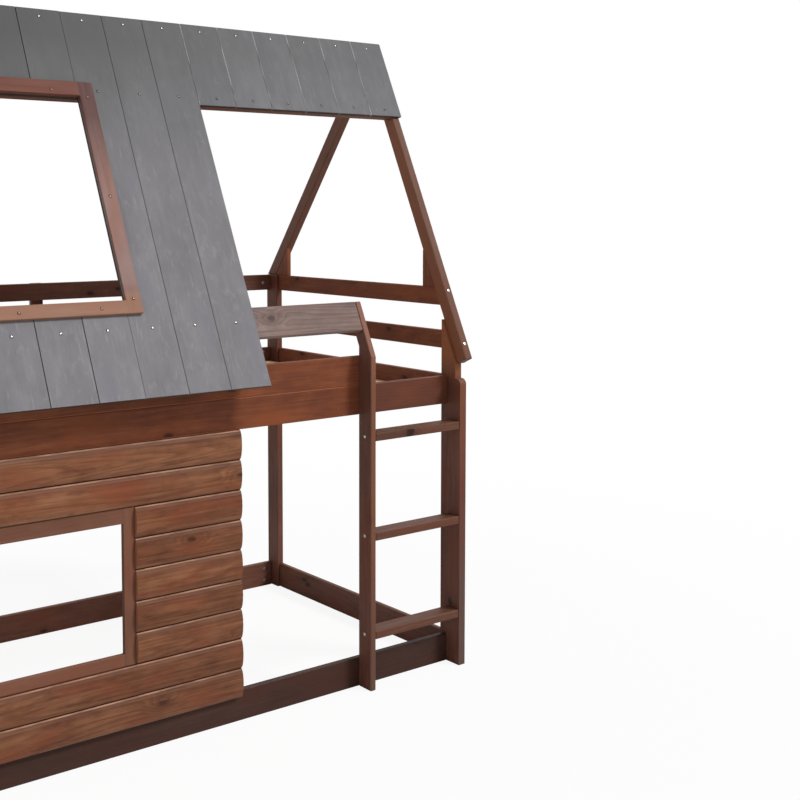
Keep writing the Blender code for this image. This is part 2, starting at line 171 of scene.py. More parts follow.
# Knots: how many to a metre, how long and how ragged they are, how far and how much they bend
# the rings, and the one seen on the tilted board beside the ladder (x and height)
KNOTS_TO_METRE = 5.2
KNOT_STRETCH = 0.5
KNOT_RAGGED = 0.05
KNOT_REACH = 0.20
KNOT_BEND = 0.11
KNOT_NOISE = (1.0, 45.0, 2.0, 0.5)
SEEN_KNOT = (0.272, 1.150)

# How far a knot's heart and the darker wood round it reach, and their strengths
HEART_RANGE = (0.018, 0.050)
HEART_STRENGTH = 0.9
HALO_RANGE = (0.04, 0.15)
HALO_STRENGTH = 0.3

# Growth rings: how many the noise is cut into, how one darkens and turns light again, and how
# late it darkens
RING_NOISE = (0.06, 9.0, 1.8, 0.42)
RING_COUNT = 24.0
RING_DARKENING_FADE = (0.15, 0.86, 0.0, 1.0)
RING_END_FADE = (0.86, 1.0, 1.0, 0.0)
RING_POWER = 1.6

# Fibres and stain clouds, each of two noises in these shares, over the range that they use
FINE_FIBRE_NOISE = (0.02, 420.0, 3.0, 0.6)
COARSE_FIBRE_NOISE = (0.045, 110.0, 4.0, 0.65)
FIBRE_SHARES = (0.3, 0.7)
WIDE_CLOUD_NOISE = (0.35, 7.0, 3.0, 0.55)
SMALL_CLOUD_NOISE = (0.5, 34.0, 3.0, 0.6)
CLOUD_SHARES = (0.65, 0.35)
PATTERN_RANGE = (0.34, 0.66)

# Tone of the stain: its middle, how far the patterns swing it, how much a board's own tint
# counts, and the places of a finish's three colours
MIDDLE_TONE = 0.5
TONE_SWING = 0.5
TINT_SHARE = 0.3
TONE_PLACES = (0.2, 0.5, 0.8)

# Nicks: how many to a metre, their size, and the noise and the range of it where they lie
NICKS_TO_METRE = 21.0
NICK_SIZE = (0.018, 0.036)
NICK_AREA_SCALE = 6.0
NICK_AREA_DETAIL = 1.0
NICK_AREA_RANGE = (0.5, 0.6)

# What every wood shows: blushes, worn bevels, darker cut ends, and in a window frame the joint
# between an upright and a level piece
BLUSH_NOISE = (0.4, 11.0, 2.0, 0.5)
BLUSH_FADE = (0.48, 0.68, 0.0, 0.7)
BEVEL_FADE = (0.86, 0.97, 1.0, 0.0)
WEAR_NOISE = (0.4, 40.0, 3.0, 0.5)
WEAR_FADE = (0.35, 0.6, 0.3, 0.7)
END_FADE = (0.94, 0.99, 0.0, 0.35)
JOINT_FADE = (0.0003, 0.0012, 0.8, 0.0)

# Surface of the wood: gloss, depth of its relief and the shares of fibres and rings in it, and
# how far the roughness varies
WOOD_GLOSS = 0.15
RELIEF_DEPTH = 0.0004
RELIEF_SHARES = (0.5, 0.7)
ROUGHNESS_SWING = 0.07

# Logs: painted shade at the wall's foot by height, the rest by places in one log from 0 to 1
LOG_BLOT_NOISE = (0.3, 30.0, 3.0, 0.6)
LOG_BLOT_FADE = (0.56, 0.70, 0.0, 0.55)
LOG_BLOT_COLOUR = (78, 46, 34)
WALL_FOOT_SHADE_FADE = (0.05, 0.40, 0.25, 0.0)
WALL_FOOT_SHADE_COLOUR = (70, 44, 34)
# Painted shade on each log's upper curve, which the lamp lights too brightly
LOG_CROWN_SHADE_FADE = (0.66, 0.93, 0.0, 0.5)
LOG_CROWN_SHADE_COLOUR = (76, 44, 31)
# The pale line at each log's top edge is partly a worn edge and partly a painted highlight
PALE_LINE_NOISE = (0.25, 60.0, 3.0, 0.5)
PALE_LINE_BREAK_FADE = (0.38, 0.6, 0.25, 0.8)
PALE_LINE_START_FADE = (0.94, 0.955, 0.0, 1.0)
PALE_LINE_END_FADE = (0.975, 0.985, 1.0, 0.0)
WORN_AND_HIGHLIGHT_LINE_COLOUR = (196, 150, 124)
# Painted light on the log ends, which lie in shade
LOG_END_LIGHT_FADE = (0.94, 0.99, 0.0, 0.8)
LOG_END_LIGHT_COLOUR = (160, 108, 82)
SEAM_ABOVE_FADE = (0.98, 0.992, 0.0, 1.0)
SEAM_BELOW_FADE = (0.0, 0.05, 0.8, 0.0)
SEAM_COLOUR = (48, 26, 18)

# Roof boards: scuffs and streaks, painted shade that darkens them towards the ridge and lessens to
# the right, and sides
SCUFF_NOISE = (0.55, 42.0, 4.0, 0.6)
SCUFF_FADE = (0.56, 0.70, 0.0, 0.32)
STREAK_NOISE = (0.10, 150.0, 2.0, 0.5)
STREAK_FADE = (0.64, 0.74, 0.0, 0.45)
SCUFF_COLOUR = (150, 149, 152)
RIDGE_SHADE_FADE = (1.5, 1.95, 0.0, 1.0)
RIDGE_SHADE_RIGHT_FADE = (-0.4, 0.5, 1.0, 0.5)
RIDGE_SHADE_COLOUR = (86, 87, 86)
BOARD_SIDE_FADE = (0.9, 0.97, 0.0, 0.9)
BOARD_SIDE_COLOUR = (42, 30, 27)

# The short roof boards over the ladder: the pale line along their edges, rubbed wash and painted
# highlight both, the share of its width that is pale throughout, and where it is broken
SHORT_BOARDS = ["roof_board_%02d" % number for number in range(1, 7)]
PALE_EDGE_WIDTH = 0.0026
PALE_EDGE_CORE = 0.6
PALE_EDGE_NOISE = (0.4, 26.0, 3.0, 0.5)
PALE_EDGE_FADE = (0.38, 0.55, 0.15, 0.85)
RUBBED_AND_HIGHLIGHT_COLOUR = (196, 195, 197)

# Roof window's frame, by height
TRIM_BROWN_FADE = (1.48, 1.72, 0.0, 0.85)
TRIM_HEAD_COLOUR = (102, 53, 38)
TRIM_UPRIGHT_COLOUR = (78, 48, 46)
SILL_FADE = (1.235, 1.250, 0.65, 0.0)
SILL_COLOUR = (154, 112, 88)
PINK_NOISE = (0.5, 8.0, 2.0, 0.5)
PINK_FADE = (0.42, 0.6, 0.4, 0.85)
PINK_FOOT_FADE = (1.22, 1.27, 0.0, 1.0)
PINK_TOP_FADE = (1.52, 1.72, 1.0, 0.0)
PINK_COLOUR = (144, 118, 114)

# Ladder: its narrow front faces, coloured by shares of LADDER_HEIGHT above the floor, and the
# painted light on the post above it
LADDER_HEIGHT = 1.25
POST_FRONT = ((0.20, (88, 71, 65)), (0.46, (104, 57, 47)), (0.68, (118, 73, 51)))
STILE_FRONT = ((0.14, (98, 71, 58)), (0.42, (124, 80, 56)), (0.74, (124, 80, 58)),
               (0.80, (140, 92, 74)))
FRONT_EDGE_FADE = (0.80, 0.88, 0.0, 0.75)
UPPER_POST_LIGHT_FADE = (0.90, 1.0, 0.0, 0.8)
UPPER_POST_LIGHT_COLOUR = (156, 95, 60)

# Rafters, and the deck's front: painted light in the joint between its boards, and painted shade on
# its rail behind the ladder
RAFTER_EDGE_FADE = (0.90, 0.97, 0.0, 0.5)
RAFTER_EDGE_COLOUR = (110, 70, 50)
RAFTER_SIDE_FADE = (0.90, 0.97, 0.0, 0.7)
FRONT_RAFTER_COLOUR = (142, 88, 62)
REAR_RAFTER_COLOUR = (122, 84, 70)
DECK_JOINT_LIGHT_FADE = (0.002, 0.005, 0.9, 0.0)
DECK_JOINT_LIGHT_COLOUR = (148, 90, 61)
# Painted shade on the deck rail behind the ladder
RAIL_SHADE_BLEND = 0.01
RAIL_SHADE_STRENGTH = 0.6
RAIL_SHADE_COLOUR = (92, 56, 46)


def linear(colour):
    """sRGB 0-255 to linear RGBA."""
    levels = [level / 255 for level in colour]
    return [(v / 12.92 if v <= 0.04045 else ((v + 0.055) / 1.055) ** 2.4) for v in levels] + [1.0]


class Shader:
    """The node tree of one material, with short calls for the nodes it needs."""

    def __init__(self, name):
        self.material = bpy.data.materials.new(name)
        self.material.use_nodes = True
        self.tree = self.material.node_tree
        self.surface = self.tree.nodes["Principled BSDF"]

    def put(self, socket, value):
        if isinstance(value, bpy.types.NodeSocket):
            self.tree.links.new(value, socket)
        else:
            socket.default_value = value

    def math(self, operation, first, second=0.0):
        made = self.tree.nodes.new("ShaderNodeMath")
        made.operation = operation
        self.put(made.inputs[0], first)
        self.put(made.inputs[1], second)
        return made.outputs[0]

    def times(self, first, second):
        return self.math("MULTIPLY", first, second)

    def gap(self, first, second):
        """How far two values lie apart."""
        return self.math("ABSOLUTE", self.math("SUBTRACT", first, second))

    def blend(self, first, second, shares):
        return self.math("ADD", self.times(first, shares[0]), self.times(second, shares[1]))

    def vector(self, operation, first, second=(0, 0, 0)):
        made = self.tree.nodes.new("ShaderNodeVectorMath")
        made.operation = operation
        self.put(made.inputs[0], first)
        self.put(made.inputs[1], second)
        return made.outputs["Value" if operation in ("DOT_PRODUCT", "LENGTH") else 0]

    def combine(self, x=0.0, y=0.0, z=0.0):
        made = self.tree.nodes.new("ShaderNodeCombineXYZ")
        for socket, value in zip(made.inputs, (x, y, z)):
            self.put(socket, value)
        return made.outputs[0]

    def separate(self, value):
        made = self.tree.nodes.new("ShaderNodeSeparateXYZ")
        self.put(made.inputs[0], value)
        return made.outputs

    def spread(self, value, low, high, start=0.0, end=1.0, smooth=False):
        """value from low...high to start...end, held at both ends."""
        made = self.tree.nodes.new("ShaderNodeMapRange")
        made.interpolation_type = "SMOOTHSTEP" if smooth else "LINEAR"
        for socket, given in zip(made.inputs, (value, low, high, start, end)):
            self.put(socket, given)
        return made.outputs[0]

    def noise(self, place, scale, detail=2.0, roughness=0.5):
        made = self.tree.nodes.new("ShaderNodeTexNoise")
        self.put(made.inputs["Vector"], place)
        self.put(made.inputs["Scale"], scale)
        self.put(made.inputs["Detail"], detail)
        self.put(made.inputs["Roughness"], roughness)
        return made.outputs["Fac"]

    def spots(self, place, scale):
        """Distance to the nearest of scattered points, in the plane of place's first two parts."""
        made = self.tree.nodes.new("ShaderNodeTexVoronoi")
        made.voronoi_dimensions = "2D"
        self.put(made.inputs["Vector"], place)
        self.put(made.inputs["Scale"], scale)
        return made.outputs["Distance"]

    def chance(self, value):
        """A number from 0 to 1 that stays the same for each value."""
        made = self.tree.nodes.new("ShaderNodeTexWhiteNoise")
        made.noise_dimensions = "1D"
        self.put(made.inputs["W"], value)
        return made.outputs["Value"]

    def ramp(self, value, stops):
        made = self.tree.nodes.new("ShaderNodeValToRGB")
        while len(made.color_ramp.elements) < len(stops):
            made.color_ramp.elements.new(0.5)
        for element, (position, colour) in zip(made.color_ramp.elements, stops):
            element.position = position
            element.color = linear(colour)
        self.put(made.inputs[0], value)
        return made.outputs["Color"]

    def mix(self, factor, first, second):
        made = self.tree.nodes.new("ShaderNodeMix")
        made.data_type = "RGBA"
        self.put(made.inputs[0], factor)
        self.put(made.inputs[6], first)
        self.put(made.inputs[7], second)
        return made.outputs[2]

    def mix_places(self, factor, first, second):
        made = self.tree.nodes.new("ShaderNodeMix")
        made.data_type = "VECTOR"
        self.put(made.inputs[0], factor)
        self.put(made.inputs[4], first)
        self.put(made.inputs[5], second)
        return made.outputs[1]

    def object_place(self):
        return self.tree.nodes.new("ShaderNodeTexCoord").outputs["Object"]

    def turned(self, vector, axes):
        """A vector in a board's axes: along its grain, through its thickness, across its face."""
        return self.combine(*[self.vector("DOT_PRODUCT", vector, tuple(axis)) for axis in axes])

    def bump(self, height, distance, strength):
        made = self.tree.nodes.new("ShaderNodeBump")
        self.put(made.inputs["Strength"], strength)
        self.put(made.inputs["Distance"], distance)
        self.put(made.inputs["Height"], height)
        self.put(self.surface.inputs["Normal"], made.outputs["Normal"])


class Look:
    """What one finish of wood looks like: its colours, then how strongly each thing shows."""

    def __init__(self, dark, middle, light, blush, knot, edge, figure=0.18, fibre=0.35,
                 cloud=0.5, knots=1.0, nicks=0.5, relief=0.6, rough=0.5):
        self.dark = dark
        self.middle = middle
        self.light = light
        self.blush = blush
        self.knot = knot
        self.edge = edge
        self.figure = figure
        self.fibre = fibre
        self.cloud = cloud
        self.knots = knots
        self.nicks = nicks
        self.relief = relief
        self.rough = rough


DARK_STAIN = Look(dark=(72, 46, 37), middle=(101, 66, 54), light=(124, 83, 67),
                  blush=(106, 60, 44), knot=(42, 24, 18), edge=(116, 78, 63))
RUNG_STAIN = Look(dark=(66, 42, 32), middle=(95, 62, 48), light=(117, 78, 60),
                  blush=(100, 57, 41), knot=(40, 23, 17), edge=(106, 71, 56))
# Painted shade: a darker copy of the stain for the front bottom rail near the floor
SHADED_LOW_STAIN = Look(dark=(46, 31, 26), middle=(62, 41, 35), light=(78, 52, 43),
                 blush=(70, 40, 32), knot=(34, 20, 16), edge=(58, 40, 34), figure=0.1)
RED_STAIN = Look(dark=(84, 46, 30), middle=(115, 63, 41), light=(140, 84, 55),
                 blush=(138, 74, 42), knot=(58, 28, 18), edge=(136, 80, 54), cloud=0.7)
# Painted light: a lighter copy of the red stain for the right deck rail, which lies in shade
LIT_RED_STAIN = Look(dark=(92, 54, 40), middle=(126, 77, 57), light=(150, 96, 72),
                  blush=(140, 82, 58), knot=(62, 34, 24), edge=(142, 90, 68), cloud=0.7)
LOG_STAIN = Look(dark=(74, 44, 29), middle=(113, 70, 47), light=(146, 99, 70),
                 blush=(130, 68, 44), knot=(62, 34, 25), edge=(140, 100, 78),
                 figure=0.28, fibre=0.55, cloud=0.65)
WALL_TRIM = Look(dark=(92, 60, 47), middle=(117, 78, 61), light=(132, 92, 74),
                 blush=(124, 74, 54), knot=(64, 38, 28), edge=(122, 86, 70),
                 figure=0.1, fibre=0.25)
ROOF_TRIM = Look(dark=(104, 64, 50), middle=(128, 86, 72), light=(146, 106, 94),
                 blush=(142, 90, 66), knot=(80, 46, 34), edge=(140, 100, 86),
                 figure=0.12, fibre=0.25, cloud=0.8)
GREYED_STAIN = Look(dark=(82, 62, 56), middle=(112, 91, 85), light=(136, 114, 106),
                    blush=(122, 92, 82), knot=(66, 46, 40), edge=(128, 110, 104),
                    figure=0.45, cloud=0.8)
GREY_WASH = Look(dark=(102, 101, 103), middle=(125, 123, 126), light=(147, 145, 148),
                 blush=(123, 121, 126), knot=(92, 90, 92), edge=(112, 111, 113),
                 figure=0.04, fibre=0.08, cloud=0.55, knots=0.1, nicks=0.0, relief=0.2,
                 rough=0.65)
BARE_PINE = Look(dark=(196, 156, 116), middle=(222, 188, 150), light=(236, 210, 178),
                 blush=(226, 178, 136), knot=(150, 98, 62), edge=(232, 206, 174), nicks=0.0)


class Wood:
    """One wood material: a finish, the board's axes, and a seed that keeps its pattern its own."""

    def __init__(self, name, look, axes, seed):
        self.look = look
        self.axes = axes
        self.shader = Shader(name)
        self.whole = self.shader.object_place()
        self.world = self.shader.separate(self.whole)
        offset = [seed * shift for shift in SEED_SHIFT]
        self.place = self.shader.vector("ADD", self.shader.turned(self.whole, axes), offset)
        self.tint = MIDDLE_TONE
        self.joint = 0.0
        self.upright = 0.0
        self.own_knot = None

    def lanes(self, coordinate, start, pitch):
        """Gives each board or log of a row its own grain and tint.

        Returns the place inside the lane, 0 to 1.
        """
        s = self.shader
        steps = s.math("DIVIDE", s.math("SUBTRACT", coordinate, start), pitch)
        lane = s.math("FLOOR", steps)
        shift = s.combine(s.times(lane, LANE_SHIFT), 0.0, 0.0)
        self.place = s.vector("ADD", self.place, shift)
        # The roughness is added only to give boards other tints than logs
        self.tint = s.chance(s.math("ADD", lane, self.look.rough))
        return s.math("FRACT", steps)

    def upright_parts(self, axes, low, high, width):
        """Turns the grain upright in a frame's two uprights, and marks their joints."""
        s = self.shader
        out = s.gap(self.world[0], (low + high) / 2)
        edge = (high - low) / 2 - width
        self.upright = s.math("GREATER_THAN", out, edge)
        other = s.vector("ADD", s.turned(self.whole, axes), UPRIGHT_SHIFT)
        self.place = s.mix_places(self.upright, self.place, other)
        self.joint = s.spread(s.gap(out, edge), *JOINT_FADE)

    def pattern(self, noise):
        """One of the noises named above, in the board's axes."""
        s = self.shader
        stretch, scale, detail, roughness = noise
        place = s.vector("MULTIPLY", self.place, (stretch, 1.0, 1.0))
        return s.noise(place, scale, detail, roughness)

    def patches(self, noise, fade):
        return self.shader.spread(self.pattern(noise), *fade)

    def toward(self, colour, target, share):
        """colour, moved to target by share."""
        return self.shader.mix(share, colour, linear(target))

    def knot_distance(self):
        s = self.shader
        part = s.separate(self.place)
        wobble = self.pattern(KNOT_NOISE)
        flat = s.combine(s.times(part[0], KNOT_STRETCH), part[2], 0.0)
        distance = s.spots(flat, KNOTS_TO_METRE)
        if self.own_knot:
            x, height = self.own_knot
            along = s.times(s.math("SUBTRACT", self.world[0], x), KNOT_STRETCH)
            rise = s.math("SUBTRACT", self.world[2], height)
            own = s.vector("LENGTH", s.combine(along, rise, 0.0))
            distance = s.math("MINIMUM", distance, s.times(own, KNOTS_TO_METRE))
        return s.math("ADD", distance, s.times(s.math("SUBTRACT", wobble, 0.5), KNOT_RAGGED))

    def rings(self, distance):
        """Growth rings cut lengthwise, which fade slowly to dark, end sharply and part at knots."""
        s = self.shader
        field = self.pattern(RING_NOISE)
        bend = KNOT_BEND * self.look.knots
        around = s.spread(distance, 0.0, KNOT_REACH, start=bend, end=0.0, smooth=True)
        steps = s.math("FRACT", s.times(s.math("ADD", field, around), RING_COUNT))
        rise = s.spread(steps, *RING_DARKENING_FADE)
        fall = s.spread(steps, *RING_END_FADE)
        return s.times(s.math("POWER", rise, RING_POWER), fall)

    def fibres(self):
        s = self.shader
        fine = self.pattern(FINE_FIBRE_NOISE)
        coarse = self.pattern(COARSE_FIBRE_NOISE)
        return s.spread(s.blend(fine, coarse, FIBRE_SHARES), *PATTERN_RANGE)

    def clouds(self):
        s = self.shader
        wide = self.pattern(WIDE_CLOUD_NOISE)
        small = self.pattern(SMALL_CLOUD_NOISE)
        return s.spread(s.blend(wide, small, CLOUD_SHARES), *PATTERN_RANGE)

    def nicks(self):
        """Small scattered dents that show paler wood, in some places only."""
        s = self.shader
        part = s.separate(self.place)
        dots = s.spots(s.combine(part[0], part[2], 0.0), NICKS_TO_METRE)
        dents = s.spread(dots, *NICK_SIZE, start=self.look.nicks, end=0.0)
        areas = s.noise(self.place, NICK_AREA_SCALE, NICK_AREA_DETAIL)
        return s.times(dents, s.spread(areas, *NICK_AREA_RANGE))

    def facing(self, axis):
        """How far the surface faces along one of the board's axes, 0 to 1."""
        s = self.shader
        normal = s.tree.nodes.new("ShaderNodeNewGeometry").outputs["Normal"]
        return s.math("ABSOLUTE", s.vector("DOT_PRODUCT", normal, tuple(self.axes[axis])))

    def eased_edges(self):
        """1 on the narrow bevels, where no axis of the board is faced squarely."""
        s = self.shader
        square = s.math("MAXIMUM", self.facing(0), self.facing(1))
        square = s.math("MAXIMUM", square, self.facing(2))
        return s.spread(square, *BEVEL_FADE)

    def tone(self, rings, fibres, clouds):
        """How dark or light the stain is, 0 to 1."""
        s = self.shader
        look = self.look
        parts = ((rings, -look.figure), (fibres, look.fibre), (clouds, look.cloud),
                 (self.tint, TINT_SHARE))
        tone = MIDDLE_TONE
        for part, share in parts:
            swing = s.times(s.math("SUBTRACT", part, MIDDLE_TONE), share * TONE_SWING)
            tone = s.math("ADD", tone, swing)
        return tone

    def build(self):
        """Sets the surface's roughness and relief, and returns the finish's colour."""
        s = self.shader
        look = self.look
        distance = self.knot_distance()
        rings = self.rings(distance)
        fibres = self.fibres()
        clouds = self.clouds()
        stops = tuple(zip(TONE_PLACES, (look.dark, look.middle, look.light)))
        colour = s.ramp(self.tone(rings, fibres, clouds), stops)
        colour = self.toward(colour, look.blush, self.patches(BLUSH_NOISE, BLUSH_FADE))
        strength = HEART_STRENGTH * look.knots
        heart = s.spread(distance, *HEART_RANGE, start=strength, end=0.0, smooth=True)
        strength = HALO_STRENGTH * look.knots
        halo = s.spread(distance, *HALO_RANGE, start=strength, end=0.0, smooth=True)
        colour = self.toward(colour, look.dark, halo)
        colour = self.toward(colour, look.knot, heart)
        colour = self.toward(colour, look.edge, self.nicks())
        worn = self.pattern(WEAR_NOISE)
        wear = s.times(self.eased_edges(), s.spread(worn, *WEAR_FADE))
        colour = self.toward(colour, look.edge, wear)
        ends = s.spread(self.facing(0), *END_FADE)
        colour = self.toward(colour, look.dark, s.math("MAXIMUM", ends, self.joint))
        dull = look.rough + ROUGHNESS_SWING
        smooth = look.rough - ROUGHNESS_SWING
        s.put(s.surface.inputs["Roughness"], s.spread(fibres, 0.0, 1.0, start=dull, end=smooth))
        s.bump(s.blend(fibres, rings, RELIEF_SHARES), RELIEF_DEPTH, look.relief)
        return colour

    def finish(self, colour):
        self.shader.put(self.shader.surface.inputs["Base Color"], colour)
        self.shader.put(self.shader.surface.inputs["Specular IOR Level"], WOOD_GLOSS)
        return self.shader.material

    def log_edges(self, colour, height, middle):
        """Dark blots, painted shade at the wall's foot and on each log's crown, painted light on
        the log ends, and in front of middle a pale line, partly worn edge and partly painted
        highlight, and a seam at each log's top.

        height is 0 to 1 in a log.
        """
        s = self.shader
        front = s.math("LESS_THAN", self.world[1], middle)
        colour = self.toward(colour, LOG_BLOT_COLOUR, self.patches(LOG_BLOT_NOISE, LOG_BLOT_FADE))
        # Painted shade: darker towards the wall's foot
        colour = self.toward(colour, WALL_FOOT_SHADE_COLOUR, s.spread(self.world[2], *WALL_FOOT_SHADE_FADE))
        # Painted shade on each log's crown
        colour = self.toward(colour, LOG_CROWN_SHADE_COLOUR, s.spread(height, *LOG_CROWN_SHADE_FADE))
        # Pale line at each log's top edge: worn edge and painted highlight both
        worn = self.patches(PALE_LINE_NOISE, PALE_LINE_BREAK_FADE)
        start = s.spread(height, *PALE_LINE_START_FADE)
        end = s.spread(height, *PALE_LINE_END_FADE)
        pale = s.times(s.times(start, end), s.times(worn, front))
        colour = self.toward(colour, WORN_AND_HIGHLIGHT_LINE_COLOUR, pale)
        # Painted light on the log ends
        colour = self.toward(colour, LOG_END_LIGHT_COLOUR, s.spread(self.facing(0), *LOG_END_LIGHT_FADE))
        above = s.spread(height, *SEAM_ABOVE_FADE)
        below = s.spread(height, *SEAM_BELOW_FADE)
        seam = s.times(s.math("MAXIMUM", above, below), front)
        return self.toward(colour, SEAM_COLOUR, seam)

    def washed(self, colour):
        """The grey wash: pale scuffs, painted shade darkening it towards the ridge, and brown sides
        and ends.
        """
        s = self.shader
        scuffs = self.patches(SCUFF_NOISE, SCUFF_FADE)
        streaks = self.patches(STREAK_NOISE, STREAK_FADE)
        colour = self.toward(colour, SCUFF_COLOUR, s.math("MAXIMUM", scuffs, streaks))
        # Painted shade: darker towards the ridge, less so to the right
        left = s.spread(self.world[0], *RIDGE_SHADE_RIGHT_FADE)
        high = s.times(s.spread(self.world[2], *RIDGE_SHADE_FADE), left)
        colour = self.toward(colour, RIDGE_SHADE_COLOUR, high)
        side = s.math("MAXIMUM", self.facing(0), self.facing(2))
        return self.toward(colour, BOARD_SIDE_COLOUR, s.spread(side, *BOARD_SIDE_FADE))

    def rubbed_and_highlit_edge(self, colour, x):
        """A pale, broken line along the board's edge at x: partly the wash rubbed off, partly a
        painted highlight on the eased edge.
        """
        s = self.shader
        away = s.gap(self.world[0], x)
        # Pale line: rubbed wash and painted highlight both
        line = s.spread(away, PALE_EDGE_WIDTH * PALE_EDGE_CORE, PALE_EDGE_WIDTH, start=1.0, end=0.0)
        broken = self.patches(PALE_EDGE_NOISE, PALE_EDGE_FADE)
        return self.toward(colour, RUBBED_AND_HIGHLIGHT_COLOUR, s.times(line, broken))

    def trim_fade(self, colour):
        """The roof window's frame: brown above, a tan sill, greyish pink lower uprights."""
        s = self.shader
        brown = s.spread(self.world[2], *TRIM_BROWN_FADE)
        stained = s.mix(self.upright, linear(TRIM_HEAD_COLOUR), linear(TRIM_UPRIGHT_COLOUR))
        colour = s.mix(brown, colour, stained)
        colour = self.toward(colour, SILL_COLOUR, s.spread(self.world[2], *SILL_FADE))
        pink = self.patches(PINK_NOISE, PINK_FADE)
        pink = s.times(pink, s.spread(self.world[2], *PINK_FOOT_FADE))
        pink = s.times(pink, s.spread(self.world[2], *PINK_TOP_FADE))
        return self.toward(colour, PINK_COLOUR, pink)

    def lit_upper_post(self, colour):
        """Painted light: the ladder's post is coloured lighter and oranger above the ladder, where
        it lies in shade.
        """
        above = self.shader.spread(self.world[2], *UPPER_POST_LIGHT_FADE)
        return self.toward(colour, UPPER_POST_LIGHT_COLOUR, above)

    def front_edge(self, colour, stops):
        """The narrow front face of a ladder upright, coloured by height."""
        s = self.shader
        shade = s.ramp(s.math("DIVIDE", self.world[2], LADDER_HEIGHT), stops)
        return s.mix(s.spread(self.facing(2), *FRONT_EDGE_FADE), colour, shade)

    def rafter_faces(self, colour, side):
        """A rafter's narrow faces, and its lighter wide ones in the colour side."""
        s = self.shader
        narrow = s.spread(self.facing(2), *RAFTER_EDGE_FADE)
        colour = self.toward(colour, RAFTER_EDGE_COLOUR, narrow)
        return self.toward(colour, side, s.spread(self.facing(1), *RAFTER_SIDE_FADE))

    def lit_joint(self, colour, height):
        """Painted light: the eased edges of two boards are coloured a little paler where they meet,
        at height, against the shade in their joint.
        """
        s = self.shader
        near = s.spread(s.gap(self.world[2], height), *DECK_JOINT_LIGHT_FADE)
        return self.toward(colour, DECK_JOINT_LIGHT_COLOUR, s.times(near, self.eased_edges()))

    def shaded_end(self, colour, x):
        """Painted shade: the deck rail is darker behind the ladder, right of x, in the shade of the
        ladder and the post.
        """
        right = self.shader.spread(self.world[0], x, x + RAIL_SHADE_BLEND, end=RAIL_SHADE_STRENGTH)
        return self.toward(colour, RAIL_SHADE_COLOUR, right)


def slope(angle):
    """Direction up a slope that faces the front (positive) or the back (negative angle)."""
    turn = math.radians(abs(angle))
    return Vector((0, math.copysign(math.cos(turn), angle), math.sin(turn)))


def board_axes(along, through):
    return (along, through, along.cross(through))


def roof_axes():
    along = slope(FRONT_SLOPE)
    return board_axes(along, Vector((0, -along.z, along.y)))


def box_axes(name):
    """Grain runs along the longest side of a node's box, and its thickness is the shortest."""
    low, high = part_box(name)
    sides = [(high - low)[axis] for axis in range(3)]
    units = (ACROSS, BACK, UP)
    return board_axes(units[sides.index(max(sides))], units[sides.index(min(sides))])


def node_axes(name):
    if name.startswith("roof_board"):
        return roof_axes()
    if "rafter" in name:
        return board_axes(slope(FRONT_SLOPE if "front" in name else -REAR_SLOPE), ACROSS)
    if "gusset" in name:
        return board_axes(UP, ACROSS)
    if name == "slat_base":
        return board_axes(BACK, UP)
    if name in ("low_purlin", "roof_window_frame"):
        return board_axes(ACROSS, roof_axes()[1])
    if name.startswith("logs_") or name == "wall_window_frame":
        return board_axes(ACROSS, BACK)
    return box_axes(name)


def node_look(name):
    single = {"front_bottom_rail": SHADED_LOW_STAIN, "right_deck_rail": LIT_RED_STAIN,
              "wall_window_frame": WALL_TRIM, "roof_window_frame": ROOF_TRIM,
              "low_purlin": GREYED_STAIN, "slat_base": BARE_PINE}
    if name in single:
        return single[name]
    if name.startswith("roof_board"):
        return GREY_WASH
    if name.startswith("logs_"):
        return LOG_STAIN
    if name.startswith("ladder_rung"):
        return RUNG_STAIN
    if name.endswith("_bottom_rail"):
        return DARK_STAIN
    if name.endswith("_gusset"):
        return RED_STAIN
    if name.endswith(("_rail", "_guard", "_guard_board")) and not name.startswith("rear_"):
        return RED_STAIN
    return DARK_STAIN


def lay_grain(wood, name):
    """Gives boards, logs and frame parts in one node their own grain, before it is built.

    Returns the height in a log, 0 to 1, for the nodes of logs.
    """
    low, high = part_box(name)
    if name.startswith("roof_boards"):
        wood.lanes(wood.world[0], low.x, BOARD_PITCH)
    if name == "wall_window_frame":
        wood.upright_parts(board_axes(UP, BACK), low.x, high.x, WALL_STILE)
    if name == "roof_window_frame":
        wood.upright_parts(roof_axes(), low.x, high.x, ROOF_STILE)
    if name == "low_purlin":
        wood.own_knot = SEEN_KNOT
    if name.startswith("logs_"):
        rows = round((high.z - low.z) / LOG_PITCH)
        return wood.lanes(wood.world[2], low.z, (high.z - low.z) / rows)
    return None


def weather(wood, name, colour, log_height):
    """Adds what only some nodes show: seams, wash, fading, worn places, and painted light and
    shade.
    """
    low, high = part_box(name)
    if name.startswith("logs_"):
        colour = wood.log_edges(colour, log_height, (low.y + high.y) / 2)
    if name.startswith("roof_board"):
        colour = wood.washed(colour)
    if name in SHORT_BOARDS:
        colour = wood.rubbed_and_highlit_edge(colour, low.x)
    if name == "roof_window_frame":
        colour = wood.trim_fade(colour)
    if name.endswith("_rafter"):
        side = FRONT_RAFTER_COLOUR if "front" in name else REAR_RAFTER_COLOUR
        colour = wood.rafter_faces(colour, side)
    if name in ("front_deck_rail", "front_guard_board"):
        # Painted light in the joint between the deck's front boards
        colour = wood.lit_joint(colour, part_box("front_guard_board")[0].z)
    if name == "front_deck_rail":
        # Painted shade on the deck rail behind the ladder
        colour = wood.shaded_end(colour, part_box("ladder_stile")[0].x)
    if name == "ladder_stile":
        colour = wood.front_edge(colour, STILE_FRONT)
    if name == "front_right_post":
        # Painted light on the post above the ladder
        colour = wood.lit_upper_post(wood.front_edge(colour, POST_FRONT))
    return colour


